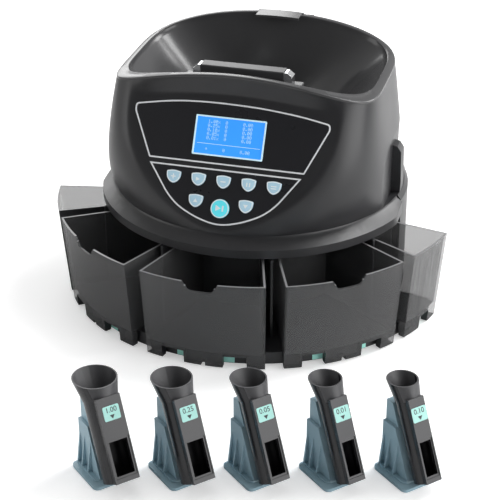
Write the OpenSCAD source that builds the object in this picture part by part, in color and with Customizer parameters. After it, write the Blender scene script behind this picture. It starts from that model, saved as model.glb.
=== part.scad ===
// Coin sorting machine with five sliding coin bins, a lift-out hopper and five loose coin tubes.
// Millimetres. +Z is up, -Y is the front, the origin is on the floor under the disc's axis.
// Bay angles are counted from the front towards +X.

/* [Bins] */
// Radius of the bins' front faces at their top edge
bin_front_r = 210.5; // [206:0.5:216]
// Height of the bins' top edge above the floor
bin_top_z = 95; // [88:0.5:97]
// Half the angle that a wide bin covers, degrees
wide_half = 17.2; // [16:0.1:17.6]
// Half the angle that a narrow bin covers, degrees
narrow_half = 8.5; // [8:0.1:8.8]
// Angle between two wide bins, degrees
wide_pitch = 39.5; // [39:0.1:40]
// Angle of the narrow bins from the front, degrees
narrow_at = 69.5; // [69:0.1:69.8]
// Wall thickness of a bin
bin_wall = 2; // [1.6:0.1:2.4]
// Depth of the blocks under a bin's front
foot_depth = 6.9; // [6:0.1:7.8]

/* [Housing] */
// Radius of the neck where the upper housing starts
neck_r = 150; // [148:0.5:152]
// Height of the neck
neck_z = 118; // [116:0.5:120]
// Half width between the flat sides
side_x = 141.5; // [140:0.5:144]
// Depth of the housing's back at the neck
back_r = 130; // [128:0.5:134]
// How far the lip above the bins stands out from the neck
lip_step = 12.6; // [10:0.2:14]
// Height of the base tray's deck
base_z = 14; // [13:0.5:15]
// How far the rear cover stands out from the neck
cover_step = 5; // [4.6:0.1:7]
// Wall thickness of the housings
shell = 3; // [2.5:0.1:3.4]
// Half width of the rim at the top
rim_half_w = 133; // [131:0.5:136]
// Distance from the axis to the rim's front edge
rim_front = 91; // [90:0.5:92]
// Distance from the axis to the rim's rear edge
rim_back = 87; // [86:0.5:88]
// Height of the rim at its middle
rim_z = 260; // [258:0.5:264]
// How much lower the rim is at its sides
rim_drop = 22.5; // [18:0.5:26]

/* [Panel] */
// Height of the panel's upper crease at its middle
brow_z = 236; // [234:0.5:238]
// How much lower the crease would be at the rim's sides
brow_drop = 15.6; // [12:0.2:18]
// How far the crease lies behind the rim's front edge
brow_in = 2.6; // [2:0.1:4]
// Width of the display's window
lcd_w = 70.7; // [66:0.1:74]
// Height of the display's window
lcd_h = 38.8; // [36:0.1:40]
// Distance between the keys of the upper row
key_pitch = 25; // [24:0.1:26]
// Width of a key
key_w = 14.6; // [13:0.1:16]
// Diameter of the round key
round_key_d = 18.3; // [17:0.1:19]
// Travel of the keys
key_travel = 1; // [0.6:0.1:1.2]

/* [Hopper] */
// Radius of the hopper's throat
throat_r = 52; // [46:0.5:54]
// Height of the throat's lower edge
throat_z = 166; // [164:0.5:172]
// Wall thickness of the hopper
hopper_wall = 2.4; // [2:0.1:2.6]
// Thickness of the hopper's rim
flange_t = 2.2; // [2:0.1:4]
// Length of the handle's grip
grip_l = 84; // [76:1:90]

/* [Sorter] */
// Radius of the sorting disc
disc_r = 96; // [92:0.5:98]
// Thickness of the sorting disc
disc_t = 5; // [4:0.5:6]
// Module of the drive gears
gear_module = 1.25; // [1.2:0.01:1.3]
// Teeth on the disc's gear
wheel_teeth = 60; // [48:1:64]
// Teeth on the motor's pinion
pinion_teeth = 12; // [11:1:14]
// Diameter of the drive shaft
shaft_d = 8; // [7:0.5:9]

/* [Coin tubes] */
// Diameters of the coins, from the left tube to the right one
coin_d = [26.5, 24.3, 21.2, 19.1, 17.9]; // [16:0.1:28]
// Length of a tube along its axis
tube_l = 90; // [84:1:96]
// Angle of a tube from the vertical, degrees
tube_tilt = 25; // [22:0.5:28]
// Turn of the stands about the vertical, degrees
stand_turn = 48; // [44:1:52]
// Distance between two stands
stand_pitch = 65.4; // [62:0.1:70]
// Distance from the axis to the middle stand along the row's normal
stand_row = 366; // [350:1:380]
// Turn of the row of stands about the vertical, degrees
row_turn = 15.1; // [14:0.1:16]

/* [Hidden] */
$fn = 96;

black = [0.09, 0.09, 0.1];
charcoal = [0.22, 0.22, 0.23];
slate = [0.42, 0.5, 0.54];
mint = [0.62, 0.84, 0.8];
steel = [0.72, 0.73, 0.75];
gap = 0.3;                         // clearance between pieces that only pass each other
touch_gap = 0.05;                  // radial clearance of a turning fit
lip_r = neck_r + lip_step;
rear_r = neck_r + cover_step;

bay_at = [-narrow_at, -wide_pitch, 0, wide_pitch, narrow_at];
bay_half = [narrow_half, wide_half, wide_half, wide_half, narrow_half];

// --- shared shapes ---

// Turns a piece drawn along +X to face a bay
module at_bay(angle) rotate(angle - 90) children();

// Part of a ring, drawn from a profile of [radius, height] points and centred on +X
module sector(half, profile) rotate(-half) rotate_extrude(angle = 2 * half) polygon(profile);

// Long wedge between two radial planes, moved inwards by a wall thickness
module wedge(half, inset, z0, z1) translate([inset / sin(half), 0, z0]) linear_extrude(z1 - z0) polygon(
    [[0, 0], 2 * bin_front_r * [cos(half), -sin(half)], 2 * bin_front_r * [cos(half), sin(half)]]);

// Rectangle with round corners, as a list of points
function round_rect(w, h, r) = [for (corner = [0:3], step = [0:4]) let (
    a = 90 * corner + 22.5 * step,
    cx = (corner == 0 || corner == 3 ? 1 : -1) * (w / 2 - r),
    cy = (corner < 2 ? 1 : -1) * (h / 2 - r)) [cx + r * cos(a), cy + r * sin(a)]];

module plate(w, h, r, z0, z1) translate([0, 0, z0]) linear_extrude(z1 - z0) polygon(round_rect(w, h, r));

// Ring with a bore, standing on z0
module ring(outer_r, inner_r, z0, z1) translate([0, 0, z0]) difference() {
    cylinder(r = outer_r, h = z1 - z0);
    translate([0, 0, -1]) cylinder(r = inner_r, h = z1 - z0 + 2);
}

// Solid skin through a list of rings that all have the same number of points
module loft(rings) {
    n = len(rings[0]);
    m = len(rings);
    points = [for (ring = rings) each ring];
    low = [for (i = [0:n - 1]) rings[0][i]];
    high = [for (i = [0:n - 1]) rings[m - 1][i]];
    middle_low = [for (axis = [0:2]) [for (p = low) 1] * [for (p = low) p[axis]] / n];
    middle_high = [for (axis = [0:2]) [for (p = high) 1] * [for (p = high) p[axis]] / n];
    sides = [for (j = [0:m - 2], i = [0:n - 1]) let (k = (i + 1) % n)
        each [[j * n + i, (j + 1) * n + i, (j + 1) * n + k], [j * n + i, (j + 1) * n + k, j * n + k]]];
    bottom = [for (i = [0:n - 1]) [i, (i + 1) % n, m * n]];
    top = [for (i = [0:n - 1]) [(m - 1) * n + (i + 1) % n, (m - 1) * n + i, m * n + 1]];
    polyhedron(concat(points, [middle_low, middle_high]), concat(sides, bottom, top));
}

// --- base ---

base_bottom = 2;
bin_lean = 8.5;                    // how much further out the top of a bin's front is than its foot
bin_low = 1;                       // lower edge of the front
function bin_face_r(z) = bin_front_r - bin_lean * (bin_top_z - z) / bin_top_z;
base_r = bin_face_r(bin_low) - foot_depth - 1.2;
foot_at = [[0, 0], [40, base_r - 29], [140, rear_r - 30], [220, rear_r - 30], [320, base_r - 29]];
label_h = 8;
label_t = 0.6;

inner_base_r = rear_r - shell - gap;
tray_half = 80;
module base_tray() color(black) union() {
    difference() {
        rotate_extrude() polygon([
            [0, base_z - shell], [base_r - shell, base_z - shell], [base_r - shell, base_bottom],
            [base_r, base_bottom], [base_r - 2, base_z], [0, base_z]]);
        // the rear is only as wide as the cover
        rotate(90) sector(180 - tray_half, [
            [inner_base_r, -1], [base_r + 9, -1], [base_r + 9, base_z + 1], [inner_base_r, base_z + 1]]);
    }
    ring(inner_base_r - 0.2, inner_base_r - shell, base_bottom, base_z - 1);
    for (f = foot_at) rotate(f[0] - 90) translate([f[1], 0, base_bottom])
        cylinder(r = 11, h = base_z - base_bottom - 1);
}

module base_feet() color([0.13, 0.13, 0.13])
    for (f = foot_at) rotate(f[0] - 90) translate([f[1], 0, 0]) cylinder(r1 = 8, r2 = 9, h = base_bottom);

// Coloured strips on the base's rim, one in each bay
module bay_labels() color(mint) for (i = [0:4]) at_bay(bay_at[i])
    sector(bay_half[i] * 0.5, [
        [base_r + 0.02, base_bottom + 1], [base_r + 0.02 + label_t, base_bottom + 1],
        [base_r + 0.02 + label_t, base_bottom + 1 + label_h], [base_r + 0.02, base_bottom + 1 + label_h]]);

wall_top = bin_top_z + 4.5;
core_r = disc_r + 4;
core_wall = 3;
fin_l = lip_r - core_r + core_wall;
core_half = 81;
fin_t = 3;
bay_edge = [for (i = [0:3]) (bay_at[i] + bay_half[i] + bay_at[i + 1] - bay_half[i + 1]) / 2];

// Round core with four fins that part the bays
module bay_walls() color(black) translate([0, 0, base_z]) union() {
    rotate(-90) sector(core_half, [[core_r - core_wall, 0], [core_r, 0],
        [core_r, wall_top - base_z], [core_r - core_wall, wall_top - base_z]]);
    for (a = bay_edge) at_bay(a) translate([core_r - core_wall / 2, -fin_t / 2, 0])
        cube([fin_l, fin_t, wall_top - base_z - 1]);
    for (s = [-1, 1]) at_bay(s * (core_half + 0.2)) translate([core_r - core_wall / 2, -fin_t / 2, 0])
        cube([neck_r - core_r, fin_t, wall_top - base_z - 1]);
}

rear_half = 97;

module rear_cover() color(black) difference() {
    rotate(90) sector(rear_half, [
        [rear_r - shell, base_bottom], [rear_r, base_bottom], [rear_r, neck_z - 5], [neck_r + 1.2, neck_z],
        [neck_r + 0.1, neck_z], [neck_r + 0.1, neck_z - 2], [rear_r - shell, neck_z - 6]]);
    // openings for the inlet, its plate and the data port
    translate([-inlet_w / 2 + 2 - gap, rear_r - 20, inlet_z - inlet_h / 2 + 2 - gap])
        cube([inlet_w - 4 + 2 * gap, 30, inlet_h - 4 + 2 * gap]);
    translate([-inlet_w / 2 - gap, rear_r - 2, inlet_z - inlet_h / 2 - gap])
        cube([inlet_w + 2 * gap, 10, inlet_h + 2 * gap]);
    translate([port_x - 9 - gap, rear_r - 20, port_z - 7 - gap]) cube([18 + 2 * gap, 30, 14 + 2 * gap]);
    // air slots
    for (a = [155:5:205], z = [84:8:100]) rotate(a - 90) translate([rear_r - 8, -4, z]) cube([16, 8, 3]);
}

// --- bins ---

bin_floor = base_z + gap;          // underside of a bin's floor
bin_back_r = core_r + 4;

module coin_bin(i) {
    half = bay_half[i];
    wide = half > 12;
    color(black) at_bay(bay_at[i]) difference() {
        intersection() {
            rotate_extrude() polygon([
                [bin_back_r, bin_floor], [base_r + 1.2, bin_floor], [base_r + 1.2, bin_low],
                [bin_face_r(bin_low), bin_low], [bin_front_r, bin_top_z], [bin_back_r, bin_top_z]]);
            wedge(half, 0, 0, bin_top_z + 20);
        }
        intersection() {
            rotate_extrude() polygon([
                [bin_back_r + bin_wall, bin_floor + bin_wall],
                [bin_face_r(bin_floor + bin_wall) - bin_wall, bin_floor + bin_wall],
                [bin_front_r - bin_wall + 0.3, bin_top_z + 3], [bin_back_r + bin_wall, bin_top_z + 3]]);
            wedge(half, bin_wall, 0, bin_top_z + 20);
        }
        if (wide) finger_notch();
        if (wide) {
            for (s = [-1, 1]) rotate(s * 8.85) foot_notch(3.3, bin_floor);
            foot_notch(0.6, 5);
        } else rotate(1) foot_notch(2.4, bin_floor);
    }
}

// Dip in a bin's front edge for a finger
module finger_notch() translate([bin_front_r - 30, 0, bin_top_z]) rotate([90, 0, 90]) linear_extrude(50)
    polygon(concat([[19, 1], [17.5, 0], [15.2, -4]],
        [for (a = [0:15:90]) [9 + 5 * cos(a), -4.5 - 5 * sin(a)]],
        [for (a = [90:15:180]) [-9 + 5 * cos(a), -4.5 - 5 * sin(a)]], [[-15.2, -4], [-17.5, 0], [-19, 1]]));

// Gap between the feet of a bin's front
module foot_notch(half, h) sector(half, [
    [base_r - 6, -1], [bin_front_r + 6, -1], [bin_front_r + 6, h], [base_r - 6, h]]);

// --- housings ---

chute_w = [32, 30, 27, 25, 24];    // widths of the coin chutes
chute_d = 26;                      // their depth
chute_r = disc_r + 28;             // their distance from the axis
lip_z = bin_top_z + 5;
lip_half = 82.6;
deck_z = neck_z - 9.5;
deck_t = 4;
well_r = 64;                       // round hole that the motor hangs through
shelf_r = back_r - 4;              // inner edge of the shelf that the upper housing stands on

module lower_housing() color(black) difference() {
    union() {
        rotate_extrude() polygon([
            [well_r, deck_z], [neck_r, deck_z], [neck_r, neck_z], [shelf_r, neck_z], [shelf_r, neck_z - shell],
            [neck_r - shell, neck_z - shell], [neck_r - shell, deck_z + deck_t], [well_r, deck_z + deck_t]]);
        // lip, cut flat where it meets the rear cover
        intersection() {
            rotate(-90) sector(lip_half, [
                [neck_r - shell - 4, lip_z], [lip_r, lip_z], [lip_r, deck_z], [neck_r + 1.5, neck_z - 2.6],
                [neck_r + 0.3, neck_z], [neck_r - 1.5, neck_z], [neck_r - 1.5, deck_z + 1],
                [neck_r - shell - 4, deck_z + 1]]);
            translate([-rear_r - 0.5, -lip_r - 1, 0]) cube([2 * rear_r + 1, lip_r + 1, neck_z + 1]);
        }
        for (a = [0:60:300]) rotate(a) translate([82, 0, deck_z + 1]) cylinder(r = 6, h = sorter_z - deck_z - 1);
    }
    for (i = [0:4]) at_bay(bay_at[i]) translate([chute_r - chute_d / 2 - gap, -chute_w[i] / 2 - gap, lip_z - 10])
        cube([chute_d + 2 * gap, chute_w[i] + 2 * gap, neck_z - lip_z + 20]);
}

ring_points = 96;
ring_levels = 12;
top_power = 5.4;                   // squareness of the rim's front corners
back_power = 3.8;                  // squareness of its rear corners
bulge = 1.3;                       // roundness of the housing's front and back, 1 is straight
rim_half_d = (rim_front + rim_back) / 2;
rim_y0 = (rim_back - rim_front) / 2;
function mix(a, b, k) = a + (b - a) * k;
function rim_height(x, y) = rim_z - rim_drop * pow(x / rim_half_w, 2) + 0.042 * y;

// Radius of a superellipse with half axes w and h in the direction a
function super_r(w, h, n, a) = pow(pow(abs(cos(a)) / w, n) + pow(abs(sin(a)) / h, n), -1 / n);

// Outline of the housing at level k, from the round neck at 0 to the squarish rim at 1
function outline(k, a, inset) = let (
    level = min(1, max(0, k)),
    w = mix(neck_r, rim_half_w, k) - inset,
    side = min(w, side_x - inset),
    front = super_r(w, mix(neck_r, rim_half_d, pow(level, bulge)) - inset, mix(2, top_power, level), a),
    back = super_r(side, mix(back_r, rim_half_d, k) - inset, mix(2, back_power, level), a),
    r = sin(a) < 0 ? min(front, side / abs(cos(a))) : back) [r * cos(a), k * rim_y0 + r * sin(a)];

function shell_ring(k, inset, low, lift) = [for (i = [0:ring_points - 1]) let (
    a = 360 * (i + 0.5) / ring_points,
    p = outline(k, a, inset),
    q = outline(1, a, inset)) [p[0], p[1], low + (rim_height(q[0], q[1]) - flange_t + lift - low) * k]];

// The panel's plane, from just outside the neck to the upper crease
panel_z = 217.3;
panel_tilt = atan((neck_r + 2 - rim_front + brow_in) / (brow_z - neck_z));
panel_y = brow_in - rim_front - (brow_z - panel_z) * tan(panel_tilt);
module on_panel() translate([0, panel_y, panel_z]) rotate([90 - panel_tilt, 0, 0]) children();

function plane_y(z, depth) = panel_y + (z - panel_z) * tan(panel_tilt) + depth / cos(panel_tilt);

// Front edge of the rim at x
function rim_y(x) = rim_y0 - rim_half_d * pow(max(0, 1 - pow(abs(x / rim_half_w), top_power)), 1 / top_power);

// Everything in front of the sloping panel and the arched brow over it
module front_cut(depth) {
    foot_z = neck_z - 10;
    high = rim_z + 30;
    far = -neck_r - 100;
    loft([for (x = [-neck_r - 10:8:neck_r + 10]) let (
        c = min(rim_half_w, max(-rim_half_w, x)),
        crease_z = brow_z - brow_drop * pow(c / rim_half_w, 2),
        edge_y = rim_y(c) + 0.3 + depth,
        edge_z = rim_height(c, rim_y(c)) - flange_t) [
            [x, far, foot_z], [x, plane_y(foot_z, depth), foot_z], [x, plane_y(crease_z, depth), crease_z],
            [x, edge_y, edge_z], [x, edge_y, high], [x, far, high]]]);
}

lug_front = -12;
lug_back = 4;
ear_out = 11;                      // from the ears' foot line to the hinge pin
hinge_y = rim_back - 3 + ear_out;
hinge_z = rim_z - 5;
pin_r = 2;

module upper_housing() color(black) {
    difference() {
        union() {
            difference() {
                loft([for (j = [0:ring_levels]) shell_ring(j / ring_levels, 0, neck_z, 0)]);
                front_cut(0);
            }
            // lugs on the sides, with a sloping top
            for (s = [0, 1]) mirror([s, 0, 0]) translate([neck_r, lug_back, neck_z]) rotate([90, 0, 0])
                linear_extrude(lug_back - lug_front)
                polygon([[-14, 0], [1, 0], [1.5, 12], [0.6, 44], [-3.5, 50], [-14, 52]]);
            // ears for the hopper's hinge
            for (s = [-1, 1]) translate([s * 29 - 4, 0, 0]) ear();
        }
        difference() {
            loft([for (k = [-0.1, 0, 0.15, 0.3, 0.45, 0.6, 0.75, 0.9, 1, 1.1]) shell_ring(k, shell, neck_z, 0)]);
            front_cut(shell);
        }
        on_panel() {
            translate([-lcd_w / 2 - 0.5, -lcd_h - 0.5, -10]) cube([lcd_w + 1, lcd_h + 1, 12]);
            for (i = [0:7]) translate([key_at[i][0], key_at[i][1], -10]) linear_extrude(12)
                offset(delta = 0.4) key_outline(i);
        }
        translate([-50, hinge_y, hinge_z]) rotate([0, 90, 0]) cylinder(r = pin_r, h = 100, $fn = 48);
    }
    on_panel() for (p = post_at) translate([p[0], p[1], -board_depth])
        cylinder(r = 3, h = board_depth - shell + 0.2, $fn = 32);
}

// One ear behind the rim that holds the hinge pin
module ear() difference() {
    translate([0, rim_back - 3, hinge_z]) rotate([90, 0, 90]) linear_extrude(8)
        polygon(concat([[1, -30]], [for (a = [-30:15:180]) [ear_out + 4.5 * cos(a), 4.5 * sin(a)]],
            [[5.4, -5], [1, -8]]));
    translate([-1, hinge_y, hinge_z]) rotate([0, 90, 0]) cylinder(r = pin_r, h = 10, $fn = 48);
}

// --- control panel ---

key_row_v = -62.2;
key_low_v = -83;
round_key_v = -87.9;
board_depth = 8.6;
key_at = concat([for (i = [-2:2]) [i * key_pitch, key_row_v]],
    [[-key_pitch, key_low_v], [key_pitch, key_low_v], [0, round_key_v]]);
post_at = [[-64, -12], [64, -12], [-42, -84], [42, -84]];
overlay_t = 0.5;

upper_outline = [[-97.3, -3], [-95.7, 2.9], [-88, 7], [-58, 11.6], [-35, 13.1], [4, 13.2], [50, 10.6], [86, 6],
    [95.5, 3], [97.5, -4.3], [77.5, -46.3], [-77.3, -46.3]];
lower_outline = [[-74, -51.5], [-54.4, -80.4], [-45.5, -87.6], [-22, -100], [-11, -102.8], [0, -103.8],
    [11, -102.8], [22, -100], [45.5, -87.6], [54.4, -80.4], [74, -51.5]];

module panel_areas() {
    polygon(upper_outline);
    polygon(lower_outline);
}

module key_holes() for (i = [0:7]) translate(key_at[i]) offset(delta = gap) key_outline(i);

module lcd_window() translate([-lcd_w / 2, -lcd_h]) square([lcd_w, lcd_h]);

// Printed film on the sloping panel
module panel_overlay() color([0.07, 0.07, 0.08]) on_panel() linear_extrude(overlay_t) difference() {
    panel_areas();
    lcd_window();
    key_holes();
}

// Light lines round both fields of the film
module panel_lines() color([0.86, 0.88, 0.9]) on_panel() translate([0, 0, overlay_t]) linear_extrude(0.15)
    difference() {
        panel_areas();
        offset(delta = -0.8) panel_areas();
    }

module lcd_frame() color([0.82, 0.88, 0.93]) on_panel() difference() {
    translate([0, -lcd_h / 2, 0]) plate(lcd_w - 0.4, lcd_h - 0.4, 1, -2, overlay_t + 0.5);
    translate([0, -lcd_h / 2, 0]) plate(lcd_w - 3.4, lcd_h - 3.4, 0.6, -3, 3);
}

module lcd_screen() color([0.1, 0.42, 0.9]) on_panel() {
    translate([0, -lcd_h / 2, 0]) plate(lcd_w - 3.6, lcd_h - 3.6, 0.6, -2, 0.2);
    translate([-lcd_w / 2, -lcd_h, -board_depth]) cube([lcd_w, lcd_h, board_depth - 2]);
}

// Plan of a key: a shield, or a circle for the round key
module key_outline(i) if (i == 7) circle(d = round_key_d);
    else polygon([[-key_w / 2, 5.2], [-key_w / 2 + 1.2, 6.3], [key_w / 2 - 1.2, 6.3], [key_w / 2, 5.2],
        [key_w / 2, -1.5], [key_w / 2 - 1.6, -3.8], [1.5, -6.3], [-1.5, -6.3], [-key_w / 2 + 1.6, -3.8],
        [-key_w / 2, -1.5]]);

key_top = overlay_t + 1.4;
key_flange = 0.8;
module key(i) color(i == 7 ? [0.25, 0.75, 0.85] : [0.66, 0.76, 0.84]) on_panel() translate(key_at[i]) {
    translate([0, 0, -shell - 1.2]) linear_extrude(key_top + shell + 1.2) key_outline(i);
    translate([0, 0, -shell - 0.3 - key_flange]) linear_extrude(key_flange) offset(delta = 1) key_outline(i);
    translate([0, 0, -board_depth + key_travel + 0.1])
        cylinder(r = 2.4, h = board_depth - shell - 1 - key_travel, $fn = 32);
}

module panel_board() color([0.1, 0.35, 0.2]) on_panel() difference() {
    translate([0, 0, -board_depth - 1.6]) linear_extrude(1.6)
        polygon([[-70, 1], [70, 1], [70, -40], [50, -92], [-50, -92], [-70, -40]]);
    for (p = post_at) translate([p[0], p[1], -board_depth - 3]) cylinder(r = 1.3, h = 5, $fn = 32);
}

// --- hopper ---

opening_side = rim_half_w - 8;
opening_front = rim_front - 6.5;
opening_back = rim_back - 7;
opening_power = 4;                 // squareness of the opening's outline
hopper_points = 72;

function hopper_xy(k, a, grow) = let (
    w = mix(throat_r, opening_side, k) + grow,
    h = mix(throat_r, (opening_back + opening_front) / 2, k) + grow,
    r = super_r(w, h, mix(2, opening_power, k), a)) [
        r * cos(a), mix(0, (opening_back - opening_front) / 2, k) + r * sin(a)];

function hopper_ring(k, grow, lift) = [for (i = [0:hopper_points - 1]) let (
    a = 360 * (i + 0.5) / hopper_points,
    p = hopper_xy(k, a, grow),
    q = hopper_xy(1, a, 0)) [p[0], p[1], mix(throat_z, rim_height(q[0], q[1]) - flange_t + 0.1, k) + lift]];

function rim_ring(inset, drop) = [for (i = [0:hopper_points - 1]) let (
    p = outline(1, 360 * (i + 0.5) / hopper_points, inset)) [p[0], p[1], rim_height(p[0], p[1]) - drop]];

// Flat ring inside the rim's edge, level with the rim
function rim_inner() = [for (i = [0:hopper_points - 1]) let (
    p = hopper_xy(1, 360 * (i + 0.5) / hopper_points, -3)) [p[0], p[1], rim_height(p[0], p[1])]];

ledge_z = 241.8;
ledge_t = 3;
ledge_w = 18;
grip_y = -57.5;
grip_z = [246.8, 254.9];
post_x = grip_l / 2 + 4;           // distance from the middle to a handle's bracket

module hopper() color([0.62, 0.63, 0.64]) difference() {
    union() {
        difference() {
            loft(concat([for (j = [0:5]) hopper_ring(j / 5, hopper_wall, 0)],
                [rim_ring(0, flange_t - 0.1), rim_ring(0, 1), rim_ring(1, 0), rim_inner()]));
            loft(concat([for (j = [0:5]) hopper_ring(j / 5, 0, j == 0 ? -0.5 : 0)], [hopper_ring(1, 0, 12)]));
        }
        // ledges that carry the handle
        for (s = [-1, 1]) translate([s * (post_x + 4) - ledge_w / 2, 0.15 - 0.945 * opening_front, ledge_z - ledge_t])
            cube([ledge_w, 29.5, ledge_t]);
    }
    for (s = [-1, 1]) translate([s * post_x, grip_y, ledge_z - 5]) cylinder(r = 1.6, h = 8, $fn = 32);
}

tab_w = 46;
tab_l = 19;
tab_x = [for (x = [-tab_w / 2:tab_w / 10:tab_w / 2]) x];
tab_top = rim_height(18.5, rim_back) + 0.6;

// Plate bent like the rim, its underside at a height over the rim
module tab_plate(low, high, l) translate([0, rim_back - tab_l + l, 0]) rotate([90, 0, 0]) linear_extrude(l)
    polygon(concat([for (x = tab_x) [x, rim_height(x, rim_back - 7) + low]],
        [for (x = tab_x) [-x, rim_height(x, rim_back - 7) + high]]));

module hopper_hinge() color([0.62, 0.63, 0.64]) difference() {
    union() {
        tab_plate(-0.05, 1, tab_l + 0.4);
        tab_plate(-1.6, 1, 2);
        for (s = [-1, 1]) translate([s * 18.5 - 5.5, 0, 0]) {
            rotate([90, 0, 90]) linear_extrude(11) polygon([
                [rim_back - 3, tab_top], [rim_back + 0.4, tab_top], [rim_back + 2.4, tab_top - 2.2],
                [hinge_y + 2.4, hinge_z + 3.2], [hinge_y, hinge_z], [hinge_y - 3.6, hinge_z + 1.6],
                [rim_back + 0.5, tab_top - 3.2], [rim_back + 0.1, tab_top - 0.6], [rim_back - 3, tab_top - 0.6]]);
            translate([0, hinge_y, hinge_z]) rotate([0, 90, 0]) cylinder(r = 4, h = 11, $fn = 48);
        }
    }
    translate([-60, hinge_y, hinge_z]) rotate([0, 90, 0])
        cylinder(r = pin_r + touch_gap, h = 120, $fn = 48);
}

module hinge_pin() color(steel) translate([-34.5, hinge_y, hinge_z]) rotate([0, 90, 0])
    cylinder(r = pin_r, h = 69, $fn = 48);

module handle_grip() color([0.16, 0.16, 0.17])
    translate([-grip_l / 2, grip_y, 0]) rotate([90, 0, 90]) linear_extrude(grip_l) polygon([
        [-7.5, grip_z[0] + 0.8], [-6.7, grip_z[0]], [6.7, grip_z[0]], [7.5, grip_z[0] + 0.8],
        [7.5, grip_z[1] - 1], [6.5, grip_z[1]], [-6.5, grip_z[1]], [-7.5, grip_z[1] - 1]]);

module handle_brackets() color([0.85, 0.86, 0.88]) for (s = [0, 1]) mirror([s, 0, 0]) {
    translate([post_x, grip_y + 5.5, 0]) rotate([90, 0, 0]) linear_extrude(11) polygon([
        [-4, ledge_z], [4, ledge_z], [4, grip_z[1] - 5], [-1, grip_z[1] - 1], [-4, grip_z[1] - 1]]);
    translate([post_x, grip_y, ledge_z - 5]) cylinder(r = 1.6, h = 6, $fn = 32);
}

// --- sorter ---

sorter_z = neck_z + 6;
sorter_t = 3;
sorter_r = side_x - shell - 0.5;   // radius of the deck's front half
disc_z = sorter_z + 9;
shaft_r = shaft_d / 2;
bearing_r = 9;
rail_top = disc_z + 14;

module sorter_deck() color([0.3, 0.31, 0.32]) difference() {
    union() {
        translate([0, 0, sorter_z]) cylinder(r = back_r - shell - 8, h = sorter_t);
        translate([0, 0, sorter_z]) rotate(180) rotate_extrude(angle = 180) square([sorter_r, sorter_t]);
        translate([0, 0, sorter_z - 4]) cylinder(r = bearing_r + 3, h = 12);
    }
    translate([0, 0, sorter_z - 5]) cylinder(r = bearing_r, h = 14);
    for (i = [0:4]) at_bay(bay_at[i]) translate([chute_r - chute_d / 2 + 2, -chute_w[i] / 2 + 2, sorter_z - 1])
        cube([chute_d - 4, chute_w[i] - 4, sorter_t + 2]);
}

// Upright ring round the disc with a slot for each coin
module coin_rail() color(steel) difference() {
    ring(disc_r + 5, disc_r + 2, sorter_z + sorter_t, rail_top);
    for (i = [0:4]) at_bay(bay_at[i]) translate([disc_r - 4, -chute_w[i] / 2 + 3, disc_z - 1])
        cube([14, chute_w[i] - 6, disc_t + 4]);
}

module sorting_disc() color(steel) difference() {
    union() {
        translate([0, 0, disc_z]) cylinder(r = disc_r, h = disc_t);
        for (a = [0:30:330]) rotate(a) translate([44, -1, disc_z + disc_t]) cube([46, 2, 1]);
    }
    translate([0, 0, disc_z - 1]) cylinder(r = shaft_r, h = disc_t + 3);
}

agitator_h = 18;
module agitator() color([0.5, 0.51, 0.52]) difference() {
    translate([0, 0, disc_z + disc_t]) rotate_extrude()
        polygon([[0, 0], [34, 0], [33, 3], [14, 9], [9, agitator_h - 2], [6, agitator_h], [0, agitator_h]]);
    translate([0, 0, disc_z]) cylinder(r = shaft_r, h = disc_t + 9);
}

gear_z = sorter_z - 12;
gear_t = 6;
shaft_low = gear_z - 3;
module drive_shaft() color(steel) translate([0, 0, shaft_low])
    cylinder(r = shaft_r, h = disc_z + disc_t + 8 - shaft_low);

module shaft_bearings() color([0.6, 0.61, 0.63])
    for (z = [sorter_z - 4, sorter_z + 3]) ring(bearing_r, shaft_r + touch_gap, z, z + 5);

// --- drive ---

gear_backlash = 0.4;
gear_distance = gear_module * (wheel_teeth + pinion_teeth) / 2;

// Spur gear with straight-flanked teeth; a tooth points along +X
module spur(teeth, z0, h, bore_r) {
    pitch_r = gear_module * teeth / 2;
    tip = gear_module * 0.85;
    root = gear_module * 1.2;
    half = PI * gear_module / 4 - gear_backlash / 2;
    half_tip = half - tip * tan(22);
    half_root = half + root * tan(20);
    translate([0, 0, z0]) difference() {
        linear_extrude(h) polygon([for (i = [0:teeth - 1]) each [
            for (p = [[pitch_r - root, -half_root], [pitch_r + tip, -half_tip],
                [pitch_r + tip, half_tip], [pitch_r - root, half_root]])
            let (a = 360 * i / teeth) [p[0] * cos(a) - p[1] * sin(a), p[0] * sin(a) + p[1] * cos(a)]]]);
        translate([0, 0, -1]) cylinder(r = bore_r, h = h + 2);
    }
}

module drive_gear() color([0.85, 0.84, 0.8]) rotate(90) spur(wheel_teeth, gear_z, gear_t, shaft_r);

motor_shaft_r = 2;
motor_top = gear_z - 4;
motor_r = 17;
motor_h = 46;

// Pinion on the motor's own shaft, with a gap between two teeth facing the wheel
module motor_pinion() color(steel) translate([0, gear_distance, 0]) {
    rotate(270 + 180 / pinion_teeth) spur(pinion_teeth, gear_z, gear_t, motor_shaft_r);
    translate([0, 0, motor_top - 8])
        cylinder(r = motor_shaft_r, h = gear_z + gear_t + 1 - motor_top + 8, $fn = 48);
}

module drive_motor() color([0.35, 0.36, 0.38]) translate([0, gear_distance, 0]) difference() {
    union() {
        translate([0, 0, motor_top - motor_h]) cylinder(r = motor_r, h = motor_h);
        translate([0, 0, motor_top]) cylinder(r = 5, h = 2);
        translate([0, 0, motor_top - motor_h - 4]) cylinder(r = 6, h = 4);
    }
    translate([0, 0, motor_top - 8.5]) cylinder(r = motor_shaft_r + touch_gap, h = 20, $fn = 48);
}

module motor_bracket() color(steel) translate([0, gear_distance, motor_top]) {
    difference() {
        cylinder(r = motor_r + 1.4, h = 2);
        translate([0, 0, -1]) cylinder(r = 5.1, h = 4);
    }
    for (s = [-1, 1]) translate([s * 15, 0, 2]) cylinder(r = 2.5, h = sorter_z - motor_top - 2, $fn = 32);
}

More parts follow.
